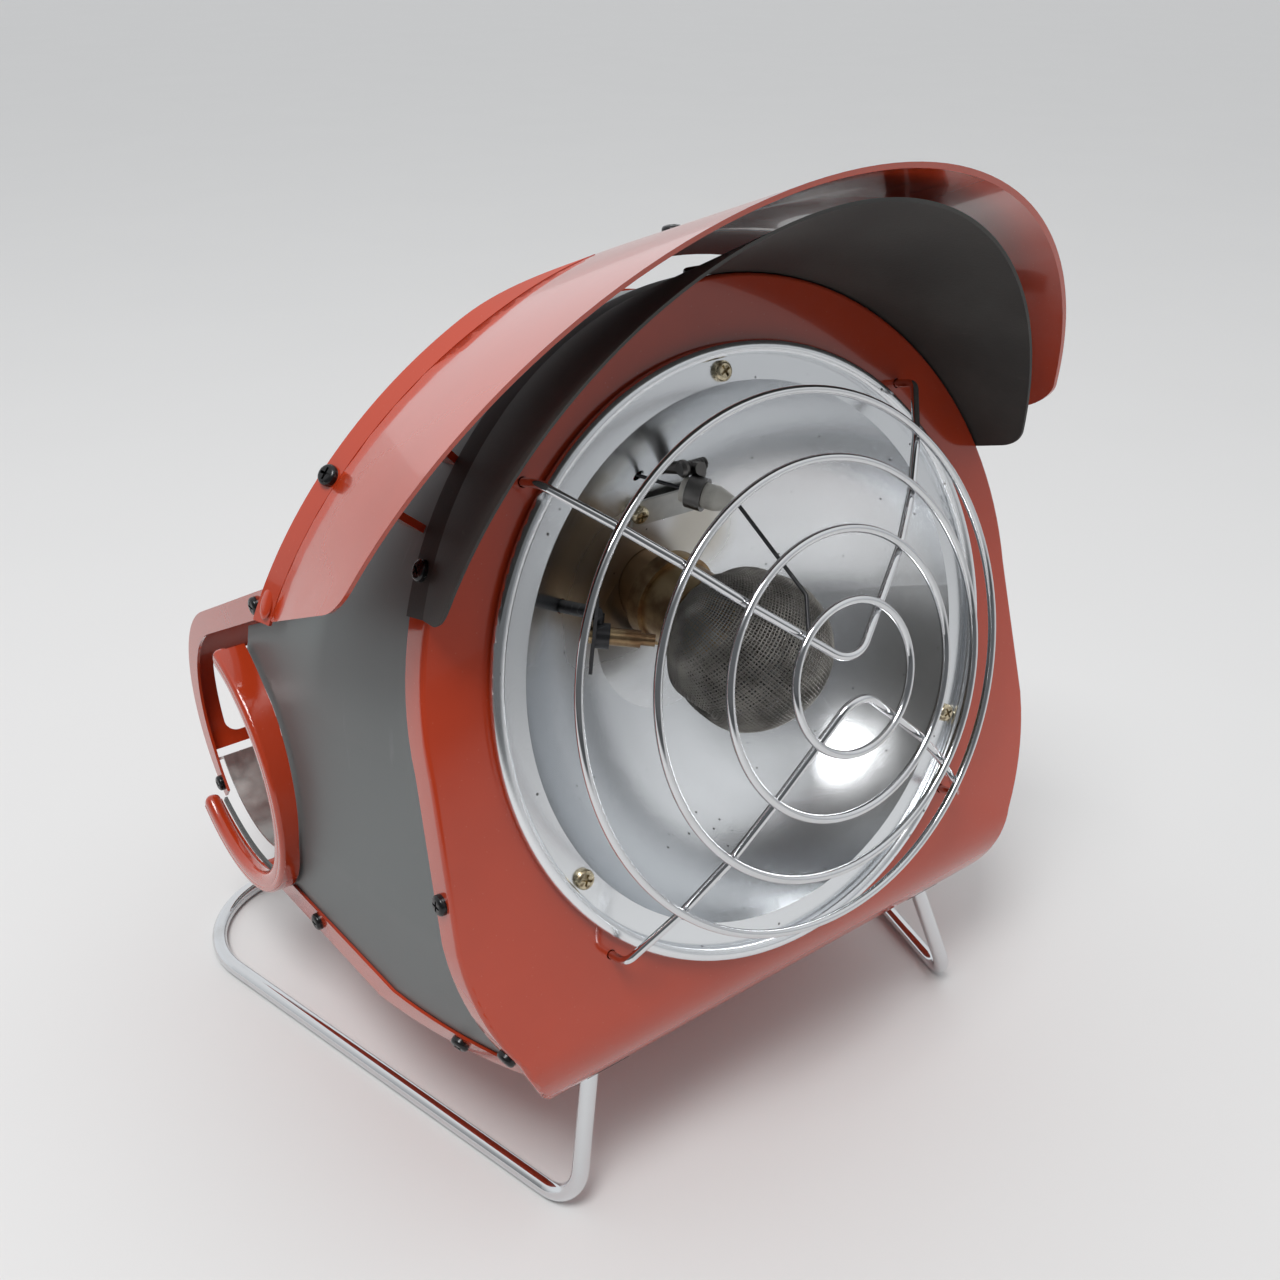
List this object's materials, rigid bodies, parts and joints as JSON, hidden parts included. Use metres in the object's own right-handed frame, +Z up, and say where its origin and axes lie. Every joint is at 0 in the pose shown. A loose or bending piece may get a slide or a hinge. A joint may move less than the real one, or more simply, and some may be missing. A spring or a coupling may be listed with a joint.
{
  "type": "cassette gas heater",
  "caption": "Portable radiant gas heater: leaning round reflector under a flared hood, wire guard, gauze burner, side bay for a gas can, and a bent rod stand.",
  "frame": {"origin": "on the floor under the middle of the heater's bounding box", "axes": "+Z up, -Y the way the reflector faces, +X to the right as seen from in front of it"},
  "size_m": [0.2564, 0.2373, 0.2976],
  "materials": {
    "red_enamel": "gloss",
    "grey_enamel": "satin",
    "black_enamel": "matte",
    "plated_bowl": "bright",
    "chrome": "polished",
    "tinted_steel": "heat tinted",
    "brass": "turned",
    "gauze": "dark woven",
    "dark_steel": "dark",
    "zinc": "plated",
    "ceramic": "glazed",
    "black_plastic": "matte",
    "rubber": "matte",
    "copper_pipe": "drawn",
    "black_screw": "satin",
    "brassy_screw": "plated"
  },
  "bodies": {
    "heater": {"front_panel": "red_enamel", "side_casing": "grey_enamel", "back_panel": "red_enamel", "bottom_panel": "red_enamel", "canister_ring": "red_enamel", "canister_cover": "red_enamel", "canister_cradle": "dark_steel", "hood": "red_enamel", "hood_brackets": "red_enamel", "heat_visor": "black_enamel", "reflector": "plated_bowl", "guard_rings": "chrome", "guard_wire_upper": "chrome", "guard_wire_lower": "chrome", "burner_tube": "tinted_steel", "burner_collar": "brass", "gauze_outer": "gauze", "gauze_inner": "gauze", "electrode_insulator": "ceramic", "electrode_pin": "dark_steel", "electrode_bracket": "tinted_steel", "flame_sensor": "brass", "sensor_bracket": "dark_steel", "governor": "zinc", "governor_seal": "rubber", "supply_pipe": "copper_pipe", "valve_body": "brass", "piezo_igniter": "black_plastic", "igniter_lead": "rubber", "nozzle_cup": "zinc", "gas_nozzle": "brass", "burner_pipe": "copper_pipe", "stand": "chrome", "stand_clamps": "dark_steel", "panel_screws": "black_screw", "bottom_screws": "black_screw", "back_screws": "black_screw", "visor_screws": "black_screw", "cover_screws": "black_screw", "reflector_screws": "brassy_screw"},
    "control": {"control_knob": "black_plastic", "control_shaft": "zinc"},
    "can_clamp": {"can_clamp": "zinc", "can_clamp_grip": "black_plastic"}
  },
  "joints": [
    {"name": "control_turn", "type": "hinge", "parent": "heater", "child": "control", "pos_m": [0.1, -0.0234, 0.095], "axis": [1, 0, 0], "range_deg": [0, 150]},
    {"name": "can_clamp_slide", "type": "slide", "parent": "heater", "child": "can_clamp", "axis": [1, 0, 0], "range_m": [0, 0.005]}
  ]
}
